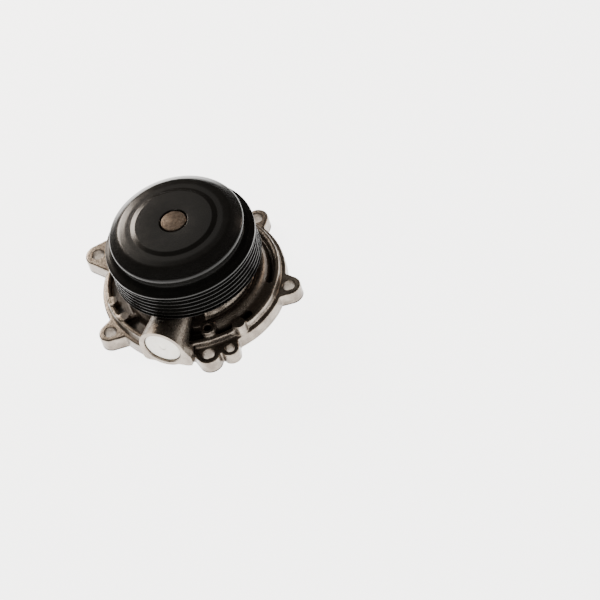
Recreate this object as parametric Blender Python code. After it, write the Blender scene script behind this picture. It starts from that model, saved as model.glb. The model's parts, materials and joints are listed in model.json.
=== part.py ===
"""Belt-driven engine water pump, modelled in Blender as an assembly of separate pieces.

The pump stands on its gasket face with the shaft upright, +Z towards the pulley. Shapes are
drawn in millimetres around the shaft axis and scaled to metres at the end. The origin is the
middle of the overall box at the gasket's lower face, a few millimetres beside the shaft axis.
"""
import math

import bmesh
import bpy
from mathutils import Matrix, Vector

MM = 0.001
GAP = 0.3                      # air left between pieces that touch on the real pump

# Gasket face and flange
GASKET_THICK = 0.8
FLANGE_LOW = GASKET_THICK + GAP
FLANGE_TOP = 10.5
FLANGE_R = 63.6
RIM_R = 60.5
RIM_INNER_R = 57.1
RIM_TOP = 16.0
RECESS_FLOOR = 11.0
DECK_R = 45.5
DECK_TOP = 17.5
SHELF_R = 58.3

# Six fixing lugs: angle in degrees, distance of the hole from the axis, radius of the lug
LUGS = ((-167.1, 67.5, 8.0), (-98.0, 64.7, 8.0), (-29.0, 65.6, 8.0),
        (33.7, 64.7, 8.0), (95.7, 64.6, 8.0), (135.2, 79.2, 9.0))
LUG_HOLE_R = 4.2
EAR_ANGLE = -85.0
EAR_R = 66.2
EAR_ROUND = 6.2
EAR_HOLE_R = 3.2

# Water chamber and volute
CHAMBER_R = 43.5
CHAMBER_TOP = 13.5
TONGUE_ANGLE = 146.0
TONGUE_R = 46.0
CHANNEL_R = 53.0
CHANNEL_END_R = 56.0
CHANNEL_TOP = 7.5
DISCHARGE_ANGLE = 101.0
RIDGE_START = -98.0
RIDGE_CLIMB = 5.0
RIDGE_R = 46.6
RIDGE_WIDTH = 6.5
RIDGE_TOP = 20.0
RIDGE_WALL = 4.0
SHOULDER_R = 38.0
SHOULDER_WIDTH = 6.0
SHOULDER_TOP = 25.0

# How far flange and rim stand in or out from their mean radius: angle, millimetres
DRIFT = ((-90, -1.8), (-65, -0.6), (-45, -0.6), (-30, -1.5), (30, -2.0), (105, -2.0),
         (150, 2.6), (180, 0.2), (205, -1.6), (257, -2.0), (270, -1.8))

# Bosses on the housing: angle, distance from the axis, radius, height
BOSSES = ((175.0, 57.6, 3.4, 17.2), (-168.0, 54.6, 3.4, 16.4), (-94.0, 50.5, 5.2, 20.0),
          (-73.0, 57.5, 4.6, 19.0))

# Bearing tower
SEAL_BORE_R = 15.0
SEAL_BORE_TOP = 27.0
WEB_BORE_R = 12.5
BEARING_BORE_R = 17.8
BEARING_LOW = 30.8
BEARING_HIGH = 58.0
TOWER_R = 22.0
TOWER_TOP = 59.0

# Water port
PORT_ANGLE = -127.5
PORT_Z = 19.0
PORT_SIDE = 3.3                # the mouth's axis passes the shaft axis at this distance
PORT_MOUTH = 64.9
PORT_BORE_R = 13.0
PORT_MOUTH_DEPTH = 13.0
PORT_NECK_BORE_R = 10.2
PORT_R = 16.4
PORT_ROOT = 22.0
PORT_ROOT_R = 12.6
PORT_DROP = 46.8
PORT_DROP_R = 6.4
PULLEY_CLEARANCE_Z = 33.6

# Shaft and rolling bearing
SHAFT_R = 8.8
RACE_R = 9.0
PITCH_R = 11.75
OUTER_RACE_R = 14.5
RING_R = 17.5
BALL_R = 3.5
BALL_COUNT = 8
BALL_Z = 50.8
GROOVE_R = 3.75
ROLLER_R = 2.6
ROLLER_LENGTH = 9.6
ROLLER_COUNT = 10
ROLLER_Z = 39.2
SHAFT_TOP = 75.0
SHAFT_LOW = 2.0

# Pulley
GROOVE_COUNT = 6
GROOVE_PITCH = 3.56
PULLEY_R = 51.3
CREST_R = 50.6
VALLEY_R = 47.3
PULLEY_INNER_R = 45.2
PULLEY_LOW = 34.5
FLANGE_EDGE_Z = 56.0
CAP_R = 45.9
CAP_RIM_Z = 66.3
PULLEY_BORE_R = 9.1
COLLAR_R = 14.5
COLLAR_LOW = 60.5

# Impeller
IMPELLER_R = 42.0
VANE_COUNT = 7
VANE_THICK = 2.2
VANE_LOW = 2.2

# Sides of the round shapes: the casting, the bearing, and small pieces
CAST_SIDES = 56
RACE_SIDES = 32
SMALL_SIDES = 24

# The shaft axis stands this far from the middle of the overall box
AXIS_X = ((LUGS[0][1] * abs(math.cos(math.radians(LUGS[0][0]))) + LUGS[0][2])
          - (LUGS[2][1] * math.cos(math.radians(LUGS[2][0])) + LUGS[2][2])) / 2


# ---------------------------------------------------------------- helpers

def clear_scene():
    for old in list(bpy.data.objects):
        bpy.data.objects.remove(old, do_unlink=True)


def polar(angle, radius):
    turn = math.radians(angle)
    return (radius * math.cos(turn), radius * math.sin(turn))


def arc(centre, radius, start, end, steps):
    points = []
    for i in range(steps + 1):
        x, y = polar(start + (end - start) * i / steps, radius)
        points.append((centre[0] + x, centre[1] + y))
    return points


def material(name, colour, roughness, metallic):
    made = bpy.data.materials.new(name)
    made.use_nodes = True
    shader = made.node_tree.nodes["Principled BSDF"]
    shader.inputs["Base Color"].default_value = (*colour, 1.0)
    shader.inputs["Roughness"].default_value = roughness
    shader.inputs["Metallic"].default_value = metallic
    made.diffuse_color = (*colour, 1.0)
    return made


def to_object(name, bm):
    bmesh.ops.recalc_face_normals(bm, faces=bm.faces[:])
    mesh = bpy.data.meshes.new(name)
    bm.to_mesh(mesh)
    bm.free()
    made = bpy.data.objects.new(name, mesh)
    bpy.context.scene.collection.objects.link(made)
    return made


def turned(name, profile, steps):
    """Turns a closed (radius, z) profile around Z."""
    bm = bmesh.new()
    rings = []
    for radius, z in profile:
        if radius < 1e-6:
            rings.append([bm.verts.new((0, 0, z))] * steps)
            continue
        rings.append([bm.verts.new((*polar(360 * i / steps, radius), z)) for i in range(steps)])
    for a, b in zip(rings, rings[1:] + rings[:1]):
        for i in range(steps):
            j = (i + 1) % steps
            corners = []
            for vert in (a[i], a[j], b[j], b[i]):
                if vert not in corners:
                    corners.append(vert)
            if len(corners) > 2:
                bm.faces.new(corners)
    return to_object(name, bm)


def prism(name, outline, low, high):
    bm = bmesh.new()
    bottom = [bm.verts.new((x, y, low)) for x, y in outline]
    top = [bm.verts.new((x, y, high)) for x, y in outline]
    bm.faces.new(bottom)
    bm.faces.new(top)
    count = len(outline)
    for i in range(count):
        j = (i + 1) % count
        bm.faces.new((bottom[i], bottom[j], top[j], top[i]))
    return to_object(name, bm)


def lofted(name, sections):
    """Joins equal closed sections, each a list of points, and caps both ends."""
    bm = bmesh.new()
    rings = [[bm.verts.new(point) for point in section] for section in sections]
    count = len(rings[0])
    for a, b in zip(rings, rings[1:]):
        for i in range(count):
            j = (i + 1) % count
            bm.faces.new((a[i], a[j], b[j], b[i]))
    bm.faces.new(rings[0])
    bm.faces.new(rings[-1])
    return to_object(name, bm)


def rod(name, start, end, start_r, end_r, sides):
    """A straight round rod or cone between two points."""
    start = Vector(start)
    end = Vector(end)
    turn = (end - start).to_track_quat("Z", "Y")
    sections = []
    for centre, radius in ((start, start_r), (end, end_r)):
        ring = [centre + turn @ Vector((*polar(360 * i / sides, radius), 0)) for i in range(sides)]
        sections.append(ring)
    return lofted(name, sections)


def combine(target, tool, operation):
    step = target.modifiers.new("step", "BOOLEAN")
    step.operation = operation
    step.solver = "EXACT"
    step.object = tool
    graph = bpy.context.evaluated_depsgraph_get()
    mesh = bpy.data.meshes.new_from_object(target.evaluated_get(graph))
    target.modifiers.clear()
    old = target.data
    target.data = mesh
    bpy.data.meshes.remove(old)
    bpy.data.objects.remove(tool, do_unlink=True)


def fuse(target, *pieces):
    for piece in pieces:
        combine(target, piece, "UNION")


def cut(target, *tools):
    for tool in tools:
        combine(target, tool, "DIFFERENCE")


def finish(piece, look, parent, sharp_angle=35):
    """Scales a piece to metres, shades it smooth and hangs it on its parent empty."""
    bm = bmesh.new()
    bm.from_mesh(piece.data)
    bmesh.ops.remove_doubles(bm, verts=bm.verts[:], dist=0.001)
    bmesh.ops.dissolve_degenerate(bm, edges=bm.edges[:], dist=0.001)
    bmesh.ops.scale(bm, vec=(MM, MM, MM), verts=bm.verts[:])
    bm.to_mesh(piece.data)
    bm.free()
    piece.data.shade_smooth()
    piece.data.set_sharp_from_angle(angle=math.radians(sharp_angle))
    piece.data.materials.clear()
    piece.data.materials.append(look)
    piece.data.name = piece.name
    piece.parent = parent
    return piece


# ---------------------------------------------------------------- flange outlines

def lug_outline(angle, distance, rounding, root_r=54.0, root_half=13.0):
    """A lug in plan: a round end with straight sides that run back into the flange."""
    root = (root_r - distance, root_half)
    reach = math.hypot(*root)
    tangent = math.degrees(math.atan2(root[1], root[0]) - math.acos(rounding / reach))
    local = [(root_r, -root_half)] + arc((distance, 0), rounding, -tangent, tangent, 12)
    local.append((root_r, root_half))
    turn = math.radians(angle)
    return [(x * math.cos(turn) - y * math.sin(turn), x * math.sin(turn) + y * math.cos(turn))
            for x, y in local]


def corner_outline():
    """The discharge corner: a plate that carries the sixth lug."""
    angle, distance, rounding = LUGS[-1]
    centre = polar(angle, distance)
    back_angle, back_distance, back_rounding = LUGS[-2]
    back = polar(back_angle, back_distance)
    outline = [polar(112, 30), polar(140, 50), (-54.0, 38.5)]
    outline += arc(centre, rounding, 225, DISCHARGE_ANGLE, 10)
    outline += arc(back, back_rounding, DISCHARGE_ANGLE, 60, 4)
    return outline


def volute_radius(angle):
    """Inner edge of flange and gasket: it widens from the tongue round to the discharge."""
    travel = (angle - TONGUE_ANGLE) % 360
    opening = min(travel / 75, 1)
    smooth = opening * opening * (3 - 2 * opening)
    late = max(0.0, (travel - 250) / 65)
    return TONGUE_R + (CHANNEL_R - TONGUE_R) * smooth + (CHANNEL_END_R - CHANNEL_R) * min(late, 1)


def volute_outline():
    """The spiral from the tongue round to the discharge, then the discharge pocket."""
    outline = []
    steps = 44
    sweep = 360 + DISCHARGE_ANGLE - TONGUE_ANGLE
    for i in range(steps + 1):
        angle = TONGUE_ANGLE + sweep * i / steps
        outline.append(polar(angle, volute_radius(angle)))
    outline += [(-43.5, 52.8), (-47.5, 50.5), (-50.6, 45.6), (-50.2, 42.6)]
    return outline


def drift(angle):
    """Flange and rim aren't round: they swell towards the discharge corner."""
    angle = (angle + 90) % 360 - 90
    for (low, a), (high, b) in zip(DRIFT, DRIFT[1:]):
        if angle <= high:
            break
    part = (angle - low) / (high - low)
    return a + (b - a) * part


def spread_outline(piece, inner_r=50.0):
    """Moves all that lies outside inner_r by the drift at its angle."""
    for vertex in piece.data.vertices:
        reach = math.hypot(vertex.co.x, vertex.co.y)
        if reach > inner_r:
            angle = math.degrees(math.atan2(vertex.co.y, vertex.co.x))
            vertex.co.x *= 1 + drift(angle) / reach
            vertex.co.y *= 1 + drift(angle) / reach
    return piece


def flange_plate(name, low, high, plate_r):
    plate = turned(name, [(0, low), (plate_r, low), (plate_r, high), (0, high)], CAST_SIDES)
    spread_outline(plate)
    for angle, distance, rounding in LUGS[:-1]:
        fuse(plate, prism("lug", lug_outline(angle, distance, rounding), low, high))
    fuse(plate, prism("corner", corner_outline(), low, high))
    return plate


def lug_holes(target, low, high):
    for angle, distance, _ in LUGS:
        x, y = polar(angle, distance)
        cut(target, rod("hole", (x, y, low), (x, y, high), LUG_HOLE_R, LUG_HOLE_R, 16))


# ---------------------------------------------------------------- pump housing

def ridge(name, start, end, radius, width, top, low):
    """A half-round rib swept round the shaft axis; it rises steeply at its start."""
    sections = []
    steps = 24
    for i in range(steps + 1):
        angle = start + (end - start) * i / steps
        climb = min((angle - start) / RIDGE_CLIMB, 1)
        crown = low + 6 + (top - low - 6) * climb * climb * (3 - 2 * climb)
        section = []
        for k in range(7):
            turn = math.pi * k / 6
            reach = radius + width * math.cos(turn)
            section.append((*polar(angle, reach), low + 3 + (crown - low - 3) * math.sin(turn)))
        section.append((*polar(angle, radius - width), low))
        section.append((*polar(angle, radius + width), low))
        sections.append(section)
    return lofted(name, sections)


def port_point(along, side=0.0, z=PORT_Z):
    x, y = polar(PORT_ANGLE, along)
    left, front = polar(PORT_ANGLE + 90, side)
    return (x + left, y + front, z)


def port_axis_side(along):
    """The neck slants: its axis starts radial at the root and ends PORT_SIDE off at the mouth."""
    return PORT_SIDE * (along - PORT_ROOT) / (PORT_MOUTH - PORT_ROOT)


def port_feet():
    """The mouth's square lower edge with a foot at each side, across the port."""
    outline = [(-PORT_R, 0), (-16.6, -10.5), (-15.4, -13.2), (-13.5, -14.0), (15.5, -14.0),
               (19.2, -12.8), (20.4, -9.8), (20.2, -4.5), (PORT_R, 2.0), (0, 6.0)]
    sections = []
    for along, grow in ((PORT_MOUTH - 10, 0.86), (PORT_MOUTH - 5, 1.0), (PORT_MOUTH, 1.0)):
        sections.append([port_point(along, PORT_SIDE + side * grow, PORT_Z + up * grow)
                         for side, up in outline])
    return lofted("port_feet", sections)


def add_port(housing):
    """A neck that clears the pulley and widens to the mouth."""
    fuse(housing, rod("neck", port_point(PORT_ROOT), port_point(PORT_MOUTH, PORT_SIDE),
                      PORT_ROOT_R, PORT_R, CAST_SIDES // 2))
    fuse(housing, port_feet())
    past_mouth = prism("past_mouth", [port_point(along, side)[:2] for along, side in
                                      ((PORT_MOUTH, -30), (PORT_MOUTH, 30),
                                       (PORT_MOUTH + 9, 30), (PORT_MOUTH + 9, -30))], -1, 45)
    cut(housing, past_mouth)
    clearance = [(24.5, PULLEY_CLEARANCE_Z), (PULLEY_R + 1.7, PULLEY_CLEARANCE_Z),
                 (PULLEY_R + 1.7, 45), (24.5, 45)]
    cut(housing, turned("pulley_clearance", clearance, CAST_SIDES))


def cut_port(housing):
    """The wide mouth, the narrower neck behind it and the drop into the volute."""
    inner_end = PORT_MOUTH - PORT_MOUTH_DEPTH
    cut(housing, rod("port_bore", port_point(PORT_MOUTH + 1, PORT_SIDE), port_point(inner_end, PORT_SIDE),
                     PORT_BORE_R, PORT_BORE_R, SMALL_SIDES))
    cut(housing, rod("port_neck_bore", port_point(inner_end + 1, port_axis_side(inner_end + 1)),
                     port_point(40, port_axis_side(40)), PORT_NECK_BORE_R, PORT_NECK_BORE_R, SMALL_SIDES))
    side = port_axis_side(PORT_DROP)
    cut(housing, rod("port_drop", port_point(PORT_DROP, side, 3), port_point(PORT_DROP, side),
                     PORT_DROP_R, PORT_DROP_R, 14))


def body_of_revolution():
    profile = [(0, FLANGE_LOW), (FLANGE_R, FLANGE_LOW), (FLANGE_R, FLANGE_TOP),
               (RIM_R, FLANGE_TOP), (RIM_R - 0.2, RIM_TOP - 0.8), (RIM_R - 1.0, RIM_TOP),
               (RIM_INNER_R + 0.8, RIM_TOP), (RIM_INNER_R, RIM_TOP - 0.8),
               (RIM_INNER_R - 0.7, RECESS_FLOOR), (DECK_R + 1.5, RECESS_FLOOR),
               (DECK_R, DECK_TOP), (31, DECK_TOP + 1), (26, 26), (23, 38),
               (TOWER_R, TOWER_TOP - 0.8), (TOWER_R - 0.8, TOWER_TOP), (0, TOWER_TOP)]
    return spread_outline(turned("pump_housing", profile, CAST_SIDES))


def inner_bore():
    profile = [(0, -1), (CHAMBER_R, -1), (CHAMBER_R, CHAMBER_TOP), (SEAL_BORE_R, CHAMBER_TOP),
               (SEAL_BORE_R, SEAL_BORE_TOP), (WEB_BORE_R, SEAL_BORE_TOP),
               (WEB_BORE_R, BEARING_LOW - GAP), (BEARING_BORE_R, BEARING_LOW - GAP),
               (BEARING_BORE_R, TOWER_TOP + 1), (0, TOWER_TOP + 1)]
    return turned("inner_bore", profile, CAST_SIDES)


def boss(angle, distance, radius, top):
    x, y = polar(angle, distance)
    return rod("boss", (x, y, FLANGE_LOW + 4), (x, y, top), radius, radius, 14)


def rib(angle, start, end, half, low, high_start, high_end):
    """A radial rib whose top slopes from its inner to its outer end."""
    sections = []
    for distance, top in ((start, high_start), (end, high_end)):
        x, y = polar(angle, distance)
        sx, sy = polar(angle + 90, half)
        sections.append([(x - sx, y - sy, low), (x + sx, y + sy, low),
                         (x + sx, y + sy, top), (x - sx, y - sy, top)])
    return lofted("rib", sections)


def pump_housing(look, parent):
    housing = body_of_revolution()
    for angle, distance, rounding in LUGS[:-1]:
        fuse(housing, prism("lug", lug_outline(angle, distance, rounding), FLANGE_LOW, FLANGE_TOP))
    fuse(housing, prism("corner", corner_outline(), FLANGE_LOW, FLANGE_TOP))
    fuse(housing, prism("ear", lug_outline(EAR_ANGLE, EAR_R, EAR_ROUND, 56, 9),
                        FLANGE_LOW, FLANGE_TOP))
    fuse(housing, ridge("ridge", RIDGE_START, 130, RIDGE_R, RIDGE_WIDTH, RIDGE_TOP, FLANGE_LOW + 2))
    fuse(housing, ridge("shoulder", RIDGE_START, 130, SHOULDER_R, SHOULDER_WIDTH, SHOULDER_TOP,
                        FLANGE_LOW + 2))
    shelf = arc((0, 0), SHELF_R, -60, -32, 8) + [polar(-32, RIDGE_R), polar(-60, RIDGE_R)]
    fuse(housing, prism("shelf", shelf, FLANGE_LOW + 3, RIM_TOP + 0.5))
    for angle in (-150, -60, 0, 60, 120, 170):
        fuse(housing, rib(angle, 20, 41, 1.8, DECK_TOP - 2, 30, DECK_TOP + 1.5))
    fuse(housing, rib(-166, 45, 58, 1.5, RECESS_FLOOR - 2, 14, 15.2))
    fuse(housing, rib(-110, 42, 54, 1.5, RECESS_FLOOR - 2, 15.5, 15.2))
    for angle, distance, radius, top in BOSSES:
        fuse(housing, boss(angle, distance, radius, top))
    add_port(housing)
    # hollows
    cut(housing, inner_bore())
    cut(housing, prism("channel", volute_outline(), -1, CHANNEL_TOP))
    cut(housing, ridge("ridge_channel", RIDGE_START + 16, 124, RIDGE_R, RIDGE_WIDTH - RIDGE_WALL,
                       RIDGE_TOP - RIDGE_WALL, -1))
    cut_port(housing)
    cut(housing, rod("weep_hole", (*polar(-40, 10), 28.7), (*polar(-40, 34), 28.7), 1.3, 1.3, 10))
    x, y = polar(*BOSSES[2][:2])
    cut(housing, rod("blind_hole", (x, y, RIM_TOP - 1), (x, y, RIM_TOP + 5), 2.6, 2.6, 16))
    lug_holes(housing, -1, FLANGE_TOP + 1)
    x, y = polar(EAR_ANGLE, EAR_R)
    cut(housing, rod("ear_hole", (x, y, -1), (x, y, FLANGE_TOP + 1), EAR_HOLE_R, EAR_HOLE_R, 14))
    return finish(housing, look, parent)


def gasket(look, parent):
    sheet = flange_plate("gasket", 0, GASKET_THICK, FLANGE_R - 1.0)
    cut(sheet, prism("opening", volute_outline(), -1, GASKET_THICK + 1))
    lug_holes(sheet, -1, GASKET_THICK + 1)
    return finish(sheet, look, parent)


# ---------------------------------------------------------------- pulley

def groove_points():
    """Six V grooves from the belt flange down to the open edge."""
    points = []
    half = GROOVE_PITCH / 2
    for i in range(GROOVE_COUNT):
        top = FLANGE_EDGE_Z - 0.8 - i * GROOVE_PITCH
        crest = PULLEY_R if i == 0 else CREST_R
        points.append((crest, top))
        points.append((VALLEY_R, top - half + 0.25))
        points.append((VALLEY_R, top - half - 0.25))
    return points


def pulley(look, parent):
    outside = [(PULLEY_BORE_R, SHAFT_TOP - 0.8), (PULLEY_BORE_R + 0.8, SHAFT_TOP),
               (26.5, SHAFT_TOP), (27.8, SHAFT_TOP - 0.7), (29.2, SHAFT_TOP - 1.5),
               (33.5, SHAFT_TOP - 1.6), (37.4, SHAFT_TOP - 2.2), (40.0, SHAFT_TOP - 3.4),
               (CAP_R - 0.5, CAP_RIM_Z + 1.6),
               (CAP_R, CAP_RIM_Z + 0.8), (44.5, CAP_RIM_Z - 3.2), (44.0, CAP_RIM_Z - 5),
               (44.0, CAP_RIM_Z - 6), (45.5, CAP_RIM_Z - 8), (49, FLANGE_EDGE_Z + 0.6),
               (PULLEY_R, FLANGE_EDGE_Z)]
    inside = [(PULLEY_R, PULLEY_LOW + 0.6), (PULLEY_R - 0.5, PULLEY_LOW),
              (PULLEY_INNER_R, PULLEY_LOW), (PULLEY_INNER_R, 56.5), (41.8, 59),
              (41.8, CAP_RIM_Z), (40, SHAFT_TOP - 6), (36, SHAFT_TOP - 4.6),
              (29, SHAFT_TOP - 4.0), (COLLAR_R + 1, SHAFT_TOP - 3.2), (COLLAR_R, SHAFT_TOP - 4),
              (COLLAR_R, COLLAR_LOW), (PULLEY_BORE_R, COLLAR_LOW)]
    body = turned("pulley", outside + groove_points() + inside, 48)
    return finish(body, look, parent, 25)


# ---------------------------------------------------------------- shaft and bearing

def race_arc(centre_r, groove_r, side, limit):
    """Points of a ball groove: the part of a circle that lies beyond the race's radius."""
    reach = math.degrees(math.acos((limit - centre_r) * side / groove_r))
    points = []
    for i in range(5):
        turn = math.radians(reach - 2 * reach * i / 4)
        points.append((centre_r + side * groove_r * math.cos(turn), BALL_Z + groove_r * math.sin(turn)))
    return points


def shaft(look, parent):
    groove = race_arc(PITCH_R, GROOVE_R, -1, RACE_R)
    profile = [(0, SHAFT_TOP), (SHAFT_R - 0.4, SHAFT_TOP), (SHAFT_R, SHAFT_TOP - 0.4),
               (SHAFT_R, 59), (RACE_R, 58.4)] + groove
    profile += [(RACE_R, 31.4), (8.0, 30.6), (8.0, SHAFT_LOW + 0.5), (7.5, SHAFT_LOW), (0, SHAFT_LOW)]
    return finish(turned("shaft", profile, RACE_SIDES), look, parent)


def bearing_outer_ring(look, parent):
    groove = race_arc(PITCH_R, GROOVE_R, 1, OUTER_RACE_R)
    profile = [(OUTER_RACE_R, BEARING_HIGH)] + groove + [(OUTER_RACE_R, BEARING_LOW)]
    profile += [(RING_R - 0.5, BEARING_LOW), (RING_R, BEARING_LOW + 0.5),
                (RING_R, BEARING_HIGH - 0.5), (RING_R - 0.5, BEARING_HIGH)]
    return finish(turned("bearing_outer_ring", profile, RACE_SIDES), look, parent)


def bearing_seal(name, z, look, parent):
    profile = [(RACE_R + 0.25, z), (OUTER_RACE_R - GAP, z), (OUTER_RACE_R - GAP, z + 1.1),
               (11, z + 1.1), (RACE_R + 0.25, z + 0.6)]
    return finish(turned(name, profile, SMALL_SIDES), look, parent)


def cage(name, low, high):
    return turned(name, [(10.6, low), (12.9, low), (12.9, high), (10.6, high)], SMALL_SIDES)


def ball_cage(look, parent):
    ring = cage("ball_cage", BALL_Z - 4.6, BALL_Z + 4.6)
    for i in range(BALL_COUNT):
        angle = 360 * i / BALL_COUNT
        cut(ring, rod("pocket", (*polar(angle, 8), BALL_Z), (*polar(angle, 15), BALL_Z), 3.8, 3.8, 12))
    return finish(ring, look, parent)


def roller_cage(look, parent):
    ring = cage("roller_cage", ROLLER_Z - 6.1, ROLLER_Z + 6.1)
    for i in range(ROLLER_COUNT):
        slot = prism("slot", [(8, -2.85), (15, -2.85), (15, 2.85), (8, 2.85)],
                     ROLLER_Z - ROLLER_LENGTH / 2 - 0.3, ROLLER_Z + ROLLER_LENGTH / 2 + 0.3)
        slot.data.transform(Matrix.Rotation(2 * math.pi * i / ROLLER_COUNT, 4, "Z"))
        cut(ring, slot)
    return finish(ring, look, parent)


def balls(look, parent):
    mesh = None
    for i in range(BALL_COUNT):
        x, y = polar(360 * i / BALL_COUNT, PITCH_R)
        if mesh is None:
            bm = bmesh.new()
            bmesh.ops.create_uvsphere(bm, u_segments=10, v_segments=6, radius=BALL_R)
            ball = finish(to_object("ball_1", bm), look, parent)
            mesh = ball.data
        else:
            ball = bpy.data.objects.new(f"ball_{i + 1}", mesh)
            bpy.context.scene.collection.objects.link(ball)
            ball.parent = parent
        ball.location = (x * MM, y * MM, BALL_Z * MM)


def rollers(look, parent):
    mesh = None
    half = ROLLER_LENGTH / 2
    for i in range(ROLLER_COUNT):
        x, y = polar(360 * i / ROLLER_COUNT, PITCH_R)
        if mesh is None:
            profile = [(0, -half), (ROLLER_R - 0.3, -half), (ROLLER_R, -half + 0.3),
                       (ROLLER_R, half - 0.3), (ROLLER_R - 0.3, half), (0, half)]
            roller = finish(turned("roller_1", profile, 10), look, parent)
            mesh = roller.data
        else:
            roller = bpy.data.objects.new(f"roller_{i + 1}", mesh)
            bpy.context.scene.collection.objects.link(roller)
            roller.parent = parent
        roller.location = (x * MM, y * MM, ROLLER_Z * MM)


# ---------------------------------------------------------------- mechanical seal

def seal_cup(look, parent):
    profile = [(13.9, 17.2), (14.7, 16.8), (14.7, 26.6), (10.4, 26.6), (10.4, 25.8), (13.9, 25.8)]
    return finish(turned("seal_cup", profile, SMALL_SIDES), look, parent)


def seal_bellows(look, parent):
    """A folded rubber sleeve between the cup and the carbon ring."""
    folds = 4
    low = 17.6
    pitch = 2.0
    outer = []
    inner = []
    for i in range(folds):
        z = low + i * pitch
        outer += [(10.3, z), (11.0, z + pitch / 2)]
        inner += [(9.2, z), (9.9, z + pitch / 2)]
    profile = outer + [(10.3, low + folds * pitch - 0.2)] + [(9.2, low + folds * pitch - 0.2)]
    profile += inner[::-1]
    return finish(turned("seal_bellows", profile, SMALL_SIDES), look, parent)


def seal_spring(look, parent):
    """A coil spring of round wire around the bellows."""
    turns = 4
    per_turn = 12
    wire_r = 0.55
    coil_r = 12.5
    low = 18.2
    high = 24.9
    sections = []
    for i in range(turns * per_turn + 1):
        part = i / (turns * per_turn)
        angle = 360 * turns * part
        centre = Vector((*polar(angle, coil_r), low + (high - low) * part))
        outward = Vector((*polar(angle, 1), 0))
        section = []
        for k in range(5):
            ring_x, ring_z = polar(72 * k, wire_r)
            section.append(centre + outward * ring_x + Vector((0, 0, ring_z)))
        sections.append(section)
    return finish(lofted("seal_spring", sections), look, parent)


def seal_carbon_ring(look, parent):
    profile = [(9.0, 14.6), (11.4, 14.6), (11.4, 15.4), (13.4, 15.4), (13.4, 17.0), (9.0, 17.0)]
    return finish(turned("seal_carbon_ring", profile, SMALL_SIDES), look, parent)


def seal_mating_ring(look, parent):
    profile = [(8.8, 11.6), (11.8, 11.6), (11.8, 14.3), (8.8, 14.3)]
    return finish(turned("seal_mating_ring", profile, SMALL_SIDES), look, parent)


def seal_mating_cup(look, parent):
    profile = [(8.3, 10.6), (12.9, 10.6), (12.9, 13.4), (12.1, 13.4), (12.1, 11.3), (8.3, 11.3)]
    return finish(turned("seal_mating_cup", profile, SMALL_SIDES), look, parent)


# ---------------------------------------------------------------- impeller and transport cap

def vane(index):
    """One backward-curved vane in plan."""
    outer_side = []
    inner_side = []
    steps = 6
    for i in range(steps + 1):
        part = i / steps
        radius = 15 + (IMPELLER_R - 0.4 - 15) * part
        angle = 360 * index / VANE_COUNT - 62 * part ** 0.8
        half_turn = math.degrees(VANE_THICK / 2 / radius)
        outer_side.append(polar(angle + half_turn, radius))
        inner_side.append(polar(angle - half_turn, radius))
    return prism("vane", outer_side + inner_side[::-1], VANE_LOW, 11.6)


def impeller(look, parent):
    profile = [(8.3, VANE_LOW), (12, VANE_LOW), (13.5, 4), (13.5, 8), (16, 11), (IMPELLER_R, 11),
               (IMPELLER_R, 12.7), (15.4, 12.7), (13.4, 10.3), (8.3, 10.3)]
    wheel = turned("impeller", profile, 42)
    for i in range(VANE_COUNT):
        fuse(wheel, vane(i))
    return finish(wheel, look, parent)


def transport_cap(look, parent):
    """A push-in plastic plug: a shallow cup whose disc closes the port's mouth."""
    depth = 8.0
    skirt_r = PORT_BORE_R - GAP
    profile = [(0, 0), (skirt_r - 0.8, 0), (skirt_r, -0.8), (skirt_r, -depth),
               (skirt_r - 1.4, -depth), (skirt_r - 1.8, -1.8), (0, -1.8)]
    plug = finish(turned("transport_cap", profile, SMALL_SIDES), look, parent)
    recess = 1.4
    outward = Vector(port_point(1, 0, 0))
    plug.rotation_euler = outward.to_track_quat("Z", "Y").to_euler()
    plug.location = Vector(port_point(PORT_MOUTH - recess, PORT_SIDE)) * MM
    return plug


# ---------------------------------------------------------------- assembly

def build():
    clear_scene()
    axis = bpy.data.objects.new("shaft_axis", None)
    bpy.context.scene.collection.objects.link(axis)
    axis.location = (AXIS_X * MM, 0, 0)
    cast = material("cast_aluminium", (0.42, 0.37, 0.31), 0.5, 0.9)
    steel = material("bearing_steel", (0.55, 0.54, 0.53), 0.25, 1.0)
    brass = material("cage_brass", (0.60, 0.43, 0.20), 0.35, 1.0)
    rubber = material("seal_rubber", (0.02, 0.02, 0.02), 0.7, 0.0)
    pump_housing(cast, axis)
    gasket(material("gasket_sheet", (0.045, 0.035, 0.030), 0.8, 0.0), axis)
    pulley(material("pulley_paint", (0.02, 0.02, 0.018), 0.35, 0.0), axis)
    shaft(material("shaft_steel", (0.33, 0.29, 0.25), 0.3, 1.0), axis)
    bearing_outer_ring(steel, axis)
    bearing_seal("bearing_seal_rear", BEARING_LOW + 0.5, rubber, axis)
    bearing_seal("bearing_seal_front", BEARING_HIGH - 1.7, rubber, axis)
    ball_cage(brass, axis)
    roller_cage(brass, axis)
    balls(steel, axis)
    rollers(steel, axis)
    seal_cup(material("seal_cup_steel", (0.6, 0.6, 0.58), 0.3, 1.0), axis)
    seal_bellows(rubber, axis)
    seal_spring(material("spring_steel", (0.5, 0.5, 0.5), 0.3, 1.0), axis)
    seal_carbon_ring(material("seal_carbon", (0.03, 0.03, 0.03), 0.5, 0.0), axis)
    seal_mating_ring(material("seal_ceramic", (0.85, 0.83, 0.78), 0.3, 0.0), axis)
    seal_mating_cup(rubber, axis)
    impeller(material("impeller_cast", (0.30, 0.27, 0.24), 0.55, 0.8), axis)
    transport_cap(material("cap_plastic", (0.86, 0.83, 0.75), 0.45, 0.0), axis)


build()
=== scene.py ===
"""Looks of the water pump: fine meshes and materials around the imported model.

Shapes are drawn in millimetres around the shaft axis, as in the part's own script, and are
moved and scaled to the frame by place(). Every piece replaces the CAD node of its name.
"""
import json
import math

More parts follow.
